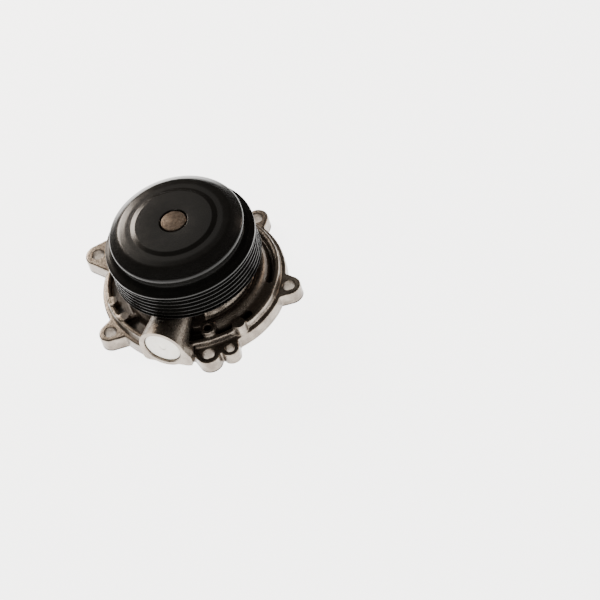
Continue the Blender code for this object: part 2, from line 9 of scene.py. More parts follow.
import bmesh
import bpy
from mathutils import Matrix, Vector


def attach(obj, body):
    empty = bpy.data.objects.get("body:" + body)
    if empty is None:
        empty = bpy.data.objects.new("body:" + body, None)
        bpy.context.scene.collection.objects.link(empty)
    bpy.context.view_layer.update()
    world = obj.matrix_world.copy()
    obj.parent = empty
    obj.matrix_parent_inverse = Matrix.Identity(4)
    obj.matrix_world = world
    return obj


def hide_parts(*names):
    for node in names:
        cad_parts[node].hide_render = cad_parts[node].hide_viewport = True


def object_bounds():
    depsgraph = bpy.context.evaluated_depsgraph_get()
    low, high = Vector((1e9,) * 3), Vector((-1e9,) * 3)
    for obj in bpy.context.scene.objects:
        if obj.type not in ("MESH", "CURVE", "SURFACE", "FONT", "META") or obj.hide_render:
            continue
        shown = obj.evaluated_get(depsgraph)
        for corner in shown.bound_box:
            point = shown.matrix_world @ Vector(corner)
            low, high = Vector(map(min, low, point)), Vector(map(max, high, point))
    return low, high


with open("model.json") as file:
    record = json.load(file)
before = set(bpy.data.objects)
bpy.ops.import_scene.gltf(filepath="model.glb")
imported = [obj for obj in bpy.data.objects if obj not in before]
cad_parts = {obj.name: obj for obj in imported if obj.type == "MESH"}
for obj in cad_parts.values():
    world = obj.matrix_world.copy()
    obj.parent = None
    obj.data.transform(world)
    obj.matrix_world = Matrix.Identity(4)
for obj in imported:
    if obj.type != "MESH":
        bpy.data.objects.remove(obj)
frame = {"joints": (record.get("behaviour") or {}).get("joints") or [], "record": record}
cad_low, cad_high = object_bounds()

MM = 0.001
AXIS_X = [joint["pos_m"][0] for joint in frame["joints"] if joint["name"] == "shaft_spin"][0]
BODY_OF = {node: body for body, nodes in frame["record"]["behaviour"]["bodies"].items()
           for node in nodes}

# The same driving sizes as the part's script, millimetres
GAP = 0.3
GASKET_THICK = 0.8
FLANGE_LOW = GASKET_THICK + GAP
FLANGE_TOP = 10.5
FLANGE_R = 63.6
RIM_R = 60.5
RIM_INNER_R = 57.1
RIM_TOP = 16.0
RECESS_FLOOR = 11.0
DECK_R = 45.5
DECK_TOP = 17.5
SHELF_R = 58.3
LUGS = ((-167.1, 67.5, 8.0), (-98.0, 64.7, 8.0), (-29.0, 65.6, 8.0),
        (33.7, 64.7, 8.0), (95.7, 64.6, 8.0), (135.2, 79.2, 9.0))
LUG_HOLE_R = 4.2
EAR_ANGLE = -85.0
EAR_R = 66.2
EAR_ROUND = 6.2
EAR_HOLE_R = 3.2
CHAMBER_R = 43.5
CHAMBER_TOP = 13.5
TONGUE_ANGLE = 146.0
TONGUE_R = 46.0
CHANNEL_R = 53.0
CHANNEL_END_R = 56.0
CHANNEL_TOP = 7.5
DISCHARGE_ANGLE = 101.0
RIDGE_START = -98.0
RIDGE_END = 130.0
RIDGE_CLIMB = 5.0
RIDGE_R = 46.6
RIDGE_WIDTH = 6.5
RIDGE_TOP = 20.0
RIDGE_WALL = 4.0
SHOULDER_R = 38.0
SHOULDER_WIDTH = 6.0
SHOULDER_TOP = 25.0
SEAL_BORE_R = 15.0
SEAL_BORE_TOP = 27.0
WEB_BORE_R = 12.5
BEARING_BORE_R = 17.8
BEARING_LOW = 30.8
BEARING_HIGH = 58.0
TOWER_R = 22.0
TOWER_TOP = 59.0
PORT_ANGLE = -127.5
PORT_Z = 19.0
PORT_SIDE = 3.3                # the mouth's axis passes the shaft axis at this distance
PORT_MOUTH = 64.9
PORT_BORE_R = 13.0
PORT_MOUTH_DEPTH = 13.0
PORT_NECK_BORE_R = 10.2
PORT_R = 16.4
PORT_ROOT = 22.0
PORT_ROOT_R = 12.6
PORT_DROP = 46.8
PORT_DROP_R = 6.4
PULLEY_CLEARANCE_Z = 33.6
SHAFT_R = 8.8
RACE_R = 9.0
PITCH_R = 11.75
OUTER_RACE_R = 14.5
RING_R = 17.5
BALL_R = 3.5
BALL_COUNT = 8
BALL_Z = 50.8
GROOVE_R = 3.75
ROLLER_R = 2.6
ROLLER_LENGTH = 9.6
ROLLER_COUNT = 10
ROLLER_Z = 39.2
SHAFT_TOP = 75.0
SHAFT_LOW = 2.0
GROOVE_COUNT = 6
GROOVE_PITCH = 3.56
PULLEY_R = 51.3
CREST_R = 50.6
VALLEY_R = 47.3
PULLEY_INNER_R = 45.2
PULLEY_LOW = 34.5
FLANGE_EDGE_Z = 56.0
CAP_R = 45.9
CAP_RIM_Z = 66.3
PULLEY_BORE_R = 9.1
COLLAR_R = 14.5
COLLAR_LOW = 60.5
IMPELLER_R = 42.0
VANE_COUNT = 7
VANE_THICK = 2.2
VANE_LOW = 2.2

FINE = "_fine"                 # ends the name of a piece that replaces a CAD node
HOUSING_VOXEL = 0.62           # mesh size of a casting before it is smoothed, millimetres
HOUSING_SMOOTHING = 7          # passes
IMPELLER_VOXEL = 0.36
IMPELLER_SMOOTHING = 3
METAL = 0.85                   # how metallic bare cast metal is; the rest is its dull skin
FLOOR_GLOW = 4.6


# ---------------------------------------------------------------- mesh helpers

def polar(angle, radius):
    turn = math.radians(angle)
    return (radius * math.cos(turn), radius * math.sin(turn))


def arc(centre, radius, start, end, steps):
    points = []
    for i in range(steps + 1):
        x, y = polar(start + (end - start) * i / steps, radius)
        points.append((centre[0] + x, centre[1] + y))
    return points


def rounded(corners, steps=5):
    """A closed (radius, z) outline; a third value at a corner is the radius it is rounded to."""
    points = []
    count = len(corners)
    for i, corner in enumerate(corners):
        here = Vector(corner[:2])
        if len(corner) < 3:
            points.append(tuple(here))
            continue
        before = Vector(corners[i - 1][:2]) - here
        after = Vector(corners[(i + 1) % count][:2]) - here
        half = before.angle(after) / 2
        if half > math.radians(89):
            points.append(tuple(here))
            continue
        reach = min(corner[2] / math.tan(half), before.length * 0.49, after.length * 0.49)
        radius = reach * math.tan(half)
        middle = (before.normalized() + after.normalized()).normalized()
        centre = here + middle * (radius / math.sin(half))
        first = here + before.normalized() * reach - centre
        last = here + after.normalized() * reach - centre
        sweep = first.angle_signed(last)
        for k in range(steps + 1):
            turn = -sweep * k / steps
            points.append((centre.x + first.x * math.cos(turn) - first.y * math.sin(turn),
                           centre.y + first.x * math.sin(turn) + first.y * math.cos(turn)))
    return points


def to_object(name, bm):
    """Makes the fine piece that stands for the CAD node of that name."""
    bmesh.ops.recalc_face_normals(bm, faces=bm.faces[:])
    mesh = bpy.data.meshes.new(name)
    bm.to_mesh(mesh)
    bm.free()
    made = bpy.data.objects.new(name + FINE, mesh)
    bpy.context.scene.collection.objects.link(made)
    return made


def turned(name, profile, steps):
    """Turns a closed (radius, z) profile around Z."""
    bm = bmesh.new()
    rings = []
    for radius, z in profile:
        if radius < 1e-6:
            rings.append([bm.verts.new((0, 0, z))] * steps)
            continue
        rings.append([bm.verts.new((*polar(360 * i / steps, radius), z)) for i in range(steps)])
    for a, b in zip(rings, rings[1:] + rings[:1]):
        for i in range(steps):
            j = (i + 1) % steps
            corners = []
            for vert in (a[i], a[j], b[j], b[i]):
                if vert not in corners:
                    corners.append(vert)
            if len(corners) > 2:
                bm.faces.new(corners)
    return to_object(name, bm)


def prism(name, outline, low, high):
    bm = bmesh.new()
    bottom = [bm.verts.new((x, y, low)) for x, y in outline]
    top = [bm.verts.new((x, y, high)) for x, y in outline]
    bm.faces.new(bottom)
    bm.faces.new(top)
    count = len(outline)
    for i in range(count):
        j = (i + 1) % count
        bm.faces.new((bottom[i], bottom[j], top[j], top[i]))
    return to_object(name, bm)


def lofted(name, sections):
    """Joins equal closed sections, each a list of points, and caps both ends."""
    bm = bmesh.new()
    rings = [[bm.verts.new(point) for point in section] for section in sections]
    count = len(rings[0])
    for a, b in zip(rings, rings[1:]):
        for i in range(count):
            j = (i + 1) % count
            bm.faces.new((a[i], a[j], b[j], b[i]))
    bm.faces.new(rings[0])
    bm.faces.new(rings[-1])
    return to_object(name, bm)


def rod(name, stations, sides=64):
    """A straight round rod through stations (point, radius), so it can taper and flare."""
    start = Vector(stations[0][0])
    end = Vector(stations[-1][0])
    turn = (end - start).to_track_quat("Z", "Y")
    sections = []
    for centre, radius in stations:
        ring = [Vector(centre) + turn @ Vector((*polar(360 * i / sides, radius), 0))
                for i in range(sides)]
        sections.append(ring)
    return lofted(name, sections)


def combine(target, tool, operation):
    step = target.modifiers.new("step", "BOOLEAN")
    step.operation = operation
    step.solver = "MANIFOLD"
    step.object = tool
    bake(target)
    bpy.data.objects.remove(tool, do_unlink=True)


def fuse(target, *pieces):
    for piece in pieces:
        combine(target, piece, "UNION")


def cut(target, *tools):
    for tool in tools:
        combine(target, tool, "DIFFERENCE")


def bake(target):
    """Applies the modifiers that a piece has at this point."""
    graph = bpy.context.evaluated_depsgraph_get()
    mesh = bpy.data.meshes.new_from_object(target.evaluated_get(graph))
    target.modifiers.clear()
    old = target.data
    target.data = mesh
    bpy.data.meshes.remove(old)


def as_cast(piece, voxel, smoothing):
    """Rounds every corner and joint the way a casting has them."""
    remesh = piece.modifiers.new("remesh", "REMESH")
    remesh.mode = "VOXEL"
    remesh.voxel_size = voxel
    smooth = piece.modifiers.new("smooth", "SMOOTH")
    smooth.factor = 0.5
    smooth.iterations = smoothing
    bake(piece)


def place(piece, look, sharp_angle=40):
    """Moves a piece from the shaft's millimetres to the frame and hands it over to its body."""
    piece.data.transform(Matrix.Translation((AXIS_X, 0, 0)) @ Matrix.Scale(MM, 4))
    piece.data.shade_smooth()
    piece.data.set_sharp_from_angle(angle=math.radians(sharp_angle))
    piece.data.materials.clear()
    piece.data.materials.append(look)
    node = piece.name.removesuffix(FINE)
    piece.data.name = piece.name
    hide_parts(node)
    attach(piece, BODY_OF[node])


# ---------------------------------------------------------------- materials

class Look:
    """A small builder for one node material. Textures are laid out in millimetres."""

    def __init__(self, name, colour, roughness, metallic):
        self.material = bpy.data.materials.new(name)
        self.material.use_nodes = True
        self.tree = self.material.node_tree
        self.shader = self.tree.nodes["Principled BSDF"]
        self.shader.inputs["Base Color"].default_value = (*colour, 1)
        self.shader.inputs["Roughness"].default_value = roughness
        self.shader.inputs["Metallic"].default_value = metallic
        self.height = None
        where = self.add("TexCoord")
        mapping = self.add("Mapping")
        mapping.inputs["Location"].default_value = (-AXIS_X / MM, 0, 0)
        mapping.inputs["Scale"].default_value = (1 / MM, 1 / MM, 1 / MM)
        self.link(where.outputs["Object"], mapping.inputs["Vector"])
        self.place = mapping.outputs["Vector"]

    def add(self, kind):
        return self.tree.nodes.new("ShaderNode" + kind)

    def link(self, output, socket):
        self.tree.links.new(output, socket)

    def noise(self, size, detail=3, roughness=0.5):
        """Noise whose blobs are about size millimetres across, as a 0..1 value."""
        made = self.add("TexNoise")
        self.link(self.place, made.inputs["Vector"])
        made.inputs["Scale"].default_value = 1 / size
        made.inputs["Detail"].default_value = detail
        made.inputs["Roughness"].default_value = roughness
        return made.outputs["Fac"]

    def stretched_noise(self, scale, detail):
        """Noise stretched by a different size along each axis, in millimetres."""
        mapping = self.add("Mapping")
        mapping.inputs["Scale"].default_value = [1 / size for size in scale]
        self.link(self.place, mapping.inputs["Vector"])
        made = self.add("TexNoise")
        self.link(mapping.outputs["Vector"], made.inputs["Vector"])
        made.inputs["Scale"].default_value = 1
        made.inputs["Detail"].default_value = detail
        return made.outputs["Fac"]

    def lathe_marks(self, pitch):
        """Fine rings around the shaft axis, as a tool leaves them."""
        mapping = self.add("Mapping")
        self.link(self.place, mapping.inputs["Vector"])
        made = self.add("TexWave")
        made.wave_type = "RINGS"
        made.rings_direction = "Z"
        self.link(mapping.outputs["Vector"], made.inputs["Vector"])
        made.inputs["Scale"].default_value = 0.314 / pitch
        made.inputs["Distortion"].default_value = 0.6
        made.inputs["Detail"].default_value = 3
        made.inputs["Detail Scale"].default_value = 1.5
        return made.outputs["Fac"]

    def ramp(self, value, stops):
        """Maps a value to colours or greys: stops are (position, colour or grey)."""
        made = self.add("ValToRGB")
        self.link(value, made.inputs["Fac"])
        ramp = made.color_ramp
        while len(ramp.elements) < len(stops):
            ramp.elements.new(0.5)
        for element, (position, colour) in zip(ramp.elements, stops):
            element.position = position
            if not isinstance(colour, tuple):
                colour = (colour, colour, colour)
            element.color = (*colour, 1)
        return made.outputs["Color"]

    def mix(self, value, a, b, blend="MIX"):
        """Mixes two colours; each may be a colour or an output, and so may the factor."""
        made = self.add("Mix")
        made.data_type = "RGBA"
        made.blend_type = blend
        factor, first, second = made.inputs[0], made.inputs[6], made.inputs[7]
        for socket, source in ((factor, value), (first, a), (second, b)):
            if isinstance(source, tuple):
                socket.default_value = (*source, 1)
            elif isinstance(source, (int, float)):
                socket.default_value = source
            else:
                self.link(source, socket)
        return made.outputs[2]

    def maths(self, operation, a, b=None):
        made = self.add("Math")
        made.operation = operation
        for socket, source in zip(made.inputs, (a, b)):
            if source is None:
                continue
            if isinstance(source, (int, float)):
                socket.default_value = source
            else:
                self.link(source, socket)
        return made.outputs["Value"]

    def edges(self, low, high):
        """1 on outer edges, 0 on flat and inner ones."""
        made = self.add("NewGeometry")
        return self.ramp(made.outputs["Pointiness"], ((low, 0.0), (high, 1.0)))

    def hollows(self, distance):
        """1 in the open, 0 in narrow recesses."""
        made = self.add("AmbientOcclusion")
        made.samples = 8
        made.inputs["Distance"].default_value = distance * MM
        return made.outputs["AO"]

    def up(self):
        """How far a face looks up, -1 to 1."""
        made = self.add("NewGeometry")
        split = self.add("SeparateXYZ")
        self.link(made.outputs["Normal"], split.inputs["Vector"])
        return split.outputs["Z"]

    def off_axis(self):
        """Distance from the shaft axis, in millimetres."""
        flat = self.add("Mapping")
        flat.inputs["Scale"].default_value = (1, 1, 0)
        self.link(self.place, flat.inputs["Vector"])
        made = self.add("VectorMath")
        made.operation = "LENGTH"
        self.link(flat.outputs["Vector"], made.inputs[0])
        return made.outputs["Value"]

    def level(self):
        """Height above the engine face, in millimetres."""
        split = self.add("SeparateXYZ")
        self.link(self.place, split.inputs["Vector"])
        return split.outputs["Z"]

    def between(self, value, start, end):
        """Rises from 0 to 1 as the value goes from start to end."""
        made = self.add("MapRange")
        self.link(value, made.inputs["Value"])
        made.inputs["From Min"].default_value = start
        made.inputs["From Max"].default_value = end
        return made.outputs["Result"]

    def set_colour(self, source):
        self.link(source, self.shader.inputs["Base Color"])

    def mottle(self, size, dark, light, detail=3):
        """Colours the piece in soft blotches of two tones."""
        self.set_colour(self.ramp(self.noise(size, detail), ((0.3, dark), (0.7, light))))

    def set_roughness(self, value, low, high):
        spread = self.add("MapRange")
        self.link(value, spread.inputs["Value"])
        spread.inputs["From Min"].default_value = 0.25
        spread.inputs["From Max"].default_value = 0.75
        spread.inputs["To Min"].default_value = low
        spread.inputs["To Max"].default_value = high
        self.link(spread.outputs["Result"], self.shader.inputs["Roughness"])

    def bump(self, value, depth):
        """Adds relief of that depth, in millimetres."""
        made = self.add("Bump")
        made.inputs["Strength"].default_value = 1.0
        made.inputs["Distance"].default_value = depth * MM
        self.link(value, made.inputs["Height"])
        if self.height is not None:
            self.link(self.height, made.inputs["Normal"])
        self.height = made.outputs["Normal"]
        self.link(self.height, self.shader.inputs["Normal"])


def cast_metal(name, dark, light, shade_tone, grain=0.5, pan=None):
    """Bare cast metal: sand-like skin, blotches, painted shade in hollows and worn edges.

    A pan (radius, height) is a recess around the shaft whose floor gets painted shade up to that
    height: darker and less metallic, for the pulley's shadow and dark reflection.
    """
    look = Look(name, light, 0.5, METAL)
    blotches = look.ramp(look.noise(7.0, 4, 0.6), ((0.35, dark), (0.68, light)))
    specks = look.ramp(look.noise(0.45, 2), ((0.40, 0.72), (0.62, 1.0)))
    colour = look.mix(0.55, blotches, specks, "MULTIPLY")
    # painted shade: narrow recesses darken towards the shade tone by ambient occlusion
    open_air = look.ramp(look.hollows(11.0), ((0.25, 0.0), (0.85, 1.0)))
    colour = look.mix(open_air, look.mix(0.85, colour, shade_tone), colour)
    if pan:
        radius, height = pan
        # painted shade and painted reflection: the pan's upward floor inside the rim darkens and
        # loses its metal sheen, in place of the pulley's shadow and dark reflection
        inside = look.between(look.off_axis(), radius, radius - 1.5)
        low = look.between(look.level(), height, height - 0.8)
        floor_part = look.between(look.up(), 0.3, 0.8)
        pan_shade = look.maths("MULTIPLY", look.maths("MULTIPLY", inside, low), floor_part)
        colour = look.mix(look.maths("MULTIPLY", pan_shade, 0.8), colour, shade_tone)
        unshaded = look.maths("SUBTRACT", 1.0, pan_shade)
        look.link(look.maths("MULTIPLY", unshaded, METAL), look.shader.inputs["Metallic"])
    worn = look.maths("MULTIPLY", look.edges(0.52, 0.62), look.noise(1.6, 3))
    colour = look.mix(worn, colour, tuple(min(1, c * 1.35) for c in light))
    look.set_colour(colour)
    look.set_roughness(look.noise(1.2, 3), 0.24, 0.38)
    look.bump(look.noise(2.4, 3, 0.6), 0.16)
    look.bump(look.noise(grain, 3, 0.65), 0.09)
    return look.material


def paint_gloss(look):
    """The dome shines; its rim, the groove under it and the belt's side are duller."""
    dome, rim_loss, groove_loss, belt_gain = 0.45, 0.30, 0.40, 0.15
    groove = look.between(look.level(), CAP_RIM_Z - 0.8, CAP_RIM_Z - 1.3)
    belt_side = look.between(look.off_axis(), CAP_R + 1, CAP_R + 2)
    rim = look.between(look.off_axis(), CAP_R - 1.6, CAP_R - 0.4)
    loss = look.maths("MAXIMUM", look.maths("MULTIPLY", groove, groove_loss),
                      look.maths("MULTIPLY", rim, rim_loss))
    gain = look.maths("MULTIPLY", belt_side, belt_gain)
    return look.maths("ADD", look.maths("SUBTRACT", dome, loss), gain)


def satin_paint():
    """Black coating on pressed steel: faint orange peel, dust, and lighter edges that are partly
    rubbed paint and partly painted highlight.
    """
    look = Look("pulley_paint", (0.007, 0.007, 0.0065), 0.32, 0.0)
    tones = ((0.35, (0.0060, 0.0058, 0.0052)), (0.70, (0.0098, 0.0095, 0.0086)))
    film = look.ramp(look.noise(16.0, 3, 0.55), tones)
    dust = look.ramp(look.noise(0.35, 2), ((0.62, 0.0), (0.78, 1.0)))
    film = look.mix(look.maths("MULTIPLY", dust, 0.07), film, (0.10, 0.095, 0.085))
    # lighter edges: partly rubbed paint, partly a painted highlight on the crests and rims
    patches = look.ramp(look.noise(1.1, 3), ((0.50, 0.0), (0.75, 1.0)))
    rubbed_and_lit_edges = look.maths("MULTIPLY", look.edges(0.53, 0.60), patches)
    film = look.mix(look.maths("MULTIPLY", rubbed_and_lit_edges, 0.12), film, (0.14, 0.13, 0.12))
    look.set_colour(film)
    look.set_roughness(look.noise(5.0, 4, 0.6), 0.20, 0.27)
    gloss = paint_gloss(look)
    look.link(gloss, look.shader.inputs["Specular IOR Level"])
    look.bump(look.noise(0.9, 2), 0.008)
    look.bump(look.noise(0.22, 2), 0.003)
    return look.material


def turned_steel(name, dark, light, low, high, tarnish=None):
    """Turned or ground steel: fine rings, soft stains and, on old steel, tarnished spots."""
    look = Look(name, light, low, 1.0)
    stains = look.ramp(look.noise(2.6, 4, 0.65), ((0.32, dark), (0.66, light)))
    if tarnish:
        spots = look.ramp(look.noise(0.8, 3, 0.7), ((0.48, 0.0), (0.66, 1.0)))
        stains = look.mix(look.maths("MULTIPLY", spots, 0.75), stains, tarnish)
    look.set_colour(stains)
    look.set_roughness(look.noise(1.5, 3), low, high)
    look.bump(look.lathe_marks(0.28), 0.012)
    look.bump(look.noise(0.3, 3, 0.7), 0.010)
    return look.material


def polished_steel(name):
    look = Look(name, (0.72, 0.72, 0.73), 0.08, 1.0)
    look.mottle(2.0, (0.62, 0.62, 0.63), (0.76, 0.76, 0.77))
    look.set_roughness(look.noise(0.8, 3), 0.06, 0.14)
    look.bump(look.noise(0.15, 2), 0.002)
    return look.material


def brass():
    look = Look("cage_brass", (0.60, 0.43, 0.20), 0.35, 1.0)
    look.mottle(3.0, (0.50, 0.34, 0.14), (0.66, 0.48, 0.23), 4)
    look.set_roughness(look.noise(1.0, 3), 0.28, 0.42)
    look.bump(look.lathe_marks(0.25), 0.008)
    return look.material


def rubber(name):
    look = Look(name, (0.018, 0.018, 0.018), 0.7, 0.0)
    look.mottle(4.0, (0.013, 0.013, 0.013), (0.026, 0.026, 0.027))
    look.set_roughness(look.noise(1.0, 3), 0.60, 0.78)
    look.bump(look.noise(0.25, 3), 0.012)
    return look.material


def gasket_sheet():
    """Fibre sheet: dark brown-black with a matt coating and a short felted grain."""
    look = Look("gasket_sheet", (0.045, 0.035, 0.030), 0.8, 0.0)
    tones = ((0.35, (0.028, 0.021, 0.018)), (0.70, (0.062, 0.048, 0.040)))
    look.set_colour(look.ramp(look.stretched_noise((0.5, 1.4, 1.0), 4), tones))
    look.set_roughness(look.noise(0.8, 3), 0.68, 0.86)
    look.bump(look.noise(0.35, 4, 0.7), 0.025)
    return look.material


def cap_plastic():
    """Cream moulded plastic: slight mottling, faint scuffs and dust."""
    look = Look("cap_plastic", (0.86, 0.83, 0.75), 0.45, 0.0)
    tones = ((0.3, (0.80, 0.765, 0.68)), (0.7, (0.88, 0.855, 0.785)))
    mottled = look.ramp(look.noise(3.5, 3), tones)
    scuffs = look.ramp(look.stretched_noise((0.5, 0.5, 5.0), 4), ((0.60, 0.0), (0.74, 1.0)))
    look.set_colour(look.mix(look.maths("MULTIPLY", scuffs, 0.18), mottled, (0.55, 0.50, 0.42)))
    look.set_roughness(look.noise(1.2, 3), 0.36, 0.52)
    look.shader.inputs["Subsurface Weight"].default_value = 0.15
    look.shader.inputs["Subsurface Radius"].default_value = (0.002, 0.0016, 0.0012)
    look.bump(look.noise(0.6, 3), 0.02)
    return look.material


def ceramic():
    look = Look("seal_ceramic", (0.85, 0.83, 0.78), 0.25, 0.0)
    look.mottle(1.5, (0.80, 0.78, 0.72), (0.88, 0.86, 0.82))
    look.set_roughness(look.noise(0.8, 2), 0.18, 0.30)
    look.bump(look.noise(0.2, 2), 0.004)
    return look.material


def carbon():
    look = Look("seal_carbon", (0.03, 0.03, 0.032), 0.45, 0.0)
    look.mottle(0.5, (0.022, 0.022, 0.024), (0.045, 0.045, 0.048))
    look.set_roughness(look.noise(0.8, 2), 0.38, 0.5)
    look.bump(look.lathe_marks(0.2), 0.006)
    return look.material


# ---------------------------------------------------------------- flange outlines

def lug_outline(angle, distance, rounding, root_r=54.0, root_half=13.0):
    root = (root_r - distance, root_half)
    reach = math.hypot(*root)
    tangent = math.degrees(math.atan2(root[1], root[0]) - math.acos(rounding / reach))
    local = [(root_r, -root_half)] + arc((distance, 0), rounding, -tangent, tangent, 40)
    local.append((root_r, root_half))
    turn = math.radians(angle)
    return [(x * math.cos(turn) - y * math.sin(turn), x * math.sin(turn) + y * math.cos(turn))
            for x, y in local]


def corner_outline():
    angle, distance, rounding = LUGS[-1]
    centre = polar(angle, distance)
    back_angle, back_distance, back_rounding = LUGS[-2]
    back = polar(back_angle, back_distance)
    outline = [polar(112, 30), polar(140, 50), (-54.0, 38.5)]
    outline += arc(centre, rounding, 225, DISCHARGE_ANGLE, 30)
    outline += arc(back, back_rounding, DISCHARGE_ANGLE, 60, 12)
    return outline


def volute_radius(angle):
    travel = (angle - TONGUE_ANGLE) % 360
    opening = min(travel / 75, 1)
    smooth = opening * opening * (3 - 2 * opening)
    late = max(0.0, (travel - 250) / 65)
    widening = (CHANNEL_R - TONGUE_R) * smooth
    return TONGUE_R + widening + (CHANNEL_END_R - CHANNEL_R) * min(late, 1)


def volute_outline():
    outline = []
    steps = 160
    sweep = 360 + DISCHARGE_ANGLE - TONGUE_ANGLE
    for i in range(steps + 1):
        angle = TONGUE_ANGLE + sweep * i / steps
        outline.append(polar(angle, volute_radius(angle)))
    outline += [(-43.5, 52.8), (-47.5, 50.5), (-50.6, 45.6), (-50.2, 42.6)]
    return outline


# How far flange and rim stand in or out from their mean radius: angle, millimetres
DRIFT = ((-90, -1.8), (-65, -0.6), (-45, -0.6), (-30, -1.5), (30, -2.0), (105, -2.0),
         (150, 2.6), (180, 0.2), (205, -1.6), (257, -2.0), (270, -1.8))


def drift(angle):
    """Flange and rim aren't round: they swell towards the discharge corner."""
    angle = (angle + 90) % 360 - 90
    for (low, a), (high, b) in zip(DRIFT, DRIFT[1:]):
        if angle <= high:
            break
    part = (angle - low) / (high - low)
    return a + (b - a) * part


def spread_outline(piece, inner_r=50.0):
    """Moves all that lies outside inner_r by the drift at its angle."""
    for vertex in piece.data.vertices:
        reach = math.hypot(vertex.co.x, vertex.co.y)
        if reach > inner_r:
            angle = math.degrees(math.atan2(vertex.co.y, vertex.co.x))
            vertex.co.x *= 1 + drift(angle) / reach
            vertex.co.y *= 1 + drift(angle) / reach
    return piece


# ---------------------------------------------------------------- pump housing

def ridge(name, start, end, radius, width, top, low):
    sections = []
    steps = 110
    for i in range(steps + 1):
        angle = start + (end - start) * i / steps
        climb = min((angle - start) / RIDGE_CLIMB, 1)
        crown = low + 6 + (top - low - 6) * climb * climb * (3 - 2 * climb)
        section = []
        for k in range(17):
            turn = math.pi * k / 16
            reach = radius + width * math.cos(turn)
            section.append((*polar(angle, reach), low + 3 + (crown - low - 3) * math.sin(turn)))
        section.append((*polar(angle, radius - width), low))
        section.append((*polar(angle, radius + width), low))
        sections.append(section)
    return lofted(name, sections)


def port_point(along, side=0.0, z=PORT_Z):
    x, y = polar(PORT_ANGLE, along)
    left, front = polar(PORT_ANGLE + 90, side)
    return (x + left, y + front, z)


def port_axis_side(along):
    return PORT_SIDE * (along - PORT_ROOT) / (PORT_MOUTH - PORT_ROOT)


def port_feet():
    outline = [(-PORT_R, 0), (-16.6, -10.5), (-15.4, -13.2), (-13.5, -14.0), (15.5, -14.0),
               (19.2, -12.8), (20.4, -9.8), (20.2, -4.5), (PORT_R, 2.0), (0, 6.0)]
    sections = []
    for along, grow in ((PORT_MOUTH - 10, 0.86), (PORT_MOUTH - 5, 1.0), (PORT_MOUTH + 2, 1.0)):
        sections.append([port_point(along, PORT_SIDE + side * grow, PORT_Z + up * grow)
                         for side, up in outline])
    return lofted("port_feet", sections)


def body_of_revolution():
    low = FLANGE_LOW - 2.5
    profile = [(0, low), (FLANGE_R, low), (FLANGE_R, FLANGE_TOP),
               (RIM_R, FLANGE_TOP), (RIM_R - 0.3, RIM_TOP), (RIM_INNER_R, RIM_TOP),
               (RIM_INNER_R - 0.7, RECESS_FLOOR), (DECK_R + 1.5, RECESS_FLOOR),
               (DECK_R, DECK_TOP), (31, DECK_TOP + 1), (26, 26), (23, 38),
               (TOWER_R, TOWER_TOP + 1.5), (0, TOWER_TOP + 1.5)]
    return spread_outline(turned("pump_housing", profile, 180))


def boss(angle, distance, radius, top):
    x, y = polar(angle, distance)
    return rod("boss", (((x, y, FLANGE_LOW + 4), radius + 0.4), ((x, y, top), radius)), 48)


def rib(angle, start, end, half, low, high_start, high_end):
    sections = []
    for distance, top in ((start, high_start), (end, high_end)):
        x, y = polar(angle, distance)
        sx, sy = polar(angle + 90, half)
        sections.append([(x - sx, y - sy, low), (x + sx, y + sy, low),
                         (x + sx, y + sy, top), (x - sx, y - sy, top)])
    return lofted("rib", sections)


# Bosses on the housing: angle, distance, radius, height; the tops are faced off flat
BOSSES = ((175, 57.6, 3.4, RIM_TOP + 1.2), (-168, 54.6, 3.4, RIM_TOP + 0.4),
          (-94, 50.5, 5.2, RIM_TOP + 4), (-73, 57.5, 4.6, RIM_TOP + 3))


def rough_casting():
    """The casting before machining, with metal left on the faces that are cut later."""
    housing = body_of_revolution()
    low = FLANGE_LOW - 2.5
    for angle, distance, rounding in LUGS[:-1]:
        fuse(housing, prism("lug", lug_outline(angle, distance, rounding), low, FLANGE_TOP))
    fuse(housing, prism("corner", corner_outline(), low, FLANGE_TOP))
    fuse(housing, prism("ear", lug_outline(EAR_ANGLE, EAR_R, EAR_ROUND, 56, 9), low, FLANGE_TOP))
    foot = FLANGE_LOW + 2
    for name, radius, width, top in (("ridge", RIDGE_R, RIDGE_WIDTH, RIDGE_TOP),
                                     ("shoulder", SHOULDER_R, SHOULDER_WIDTH, SHOULDER_TOP)):
        fuse(housing, ridge(name, RIDGE_START, RIDGE_END, radius, width, top, foot))
    shelf = arc((0, 0), SHELF_R, -60, -32, 24) + [polar(-32, RIDGE_R), polar(-60, RIDGE_R)]
    fuse(housing, prism("shelf", shelf, FLANGE_LOW + 3, RIM_TOP + 0.5))
    for angle in (-150, -60, 0, 60, 120, 170):
        fuse(housing, rib(angle, 20, 41, 1.8, DECK_TOP - 2, 30, DECK_TOP + 1.5))
    fuse(housing, rib(-166, 45, 58, 1.5, RECESS_FLOOR - 2, 14, 15.2))
    fuse(housing, rib(-110, 42, 54, 1.5, RECESS_FLOOR - 2, 15.5, 15.2))
    for angle, distance, radius, top in BOSSES:
        fuse(housing, boss(angle, distance, radius, top + 0.8))
    neck = ((port_point(PORT_ROOT), PORT_ROOT_R), (port_point(PORT_MOUTH, PORT_SIDE), PORT_R),
            (port_point(PORT_MOUTH + 2, port_axis_side(PORT_MOUTH + 2)), PORT_R))
    fuse(housing, rod("neck", neck, 96))
    fuse(housing, port_feet())
    clearance = [(24.5, PULLEY_CLEARANCE_Z), (PULLEY_R + 1.7, PULLEY_CLEARANCE_Z),
                 (PULLEY_R + 1.7, 45), (24.5, 45)]
    cut(housing, turned("pulley_clearance", clearance, 180))
    return housing


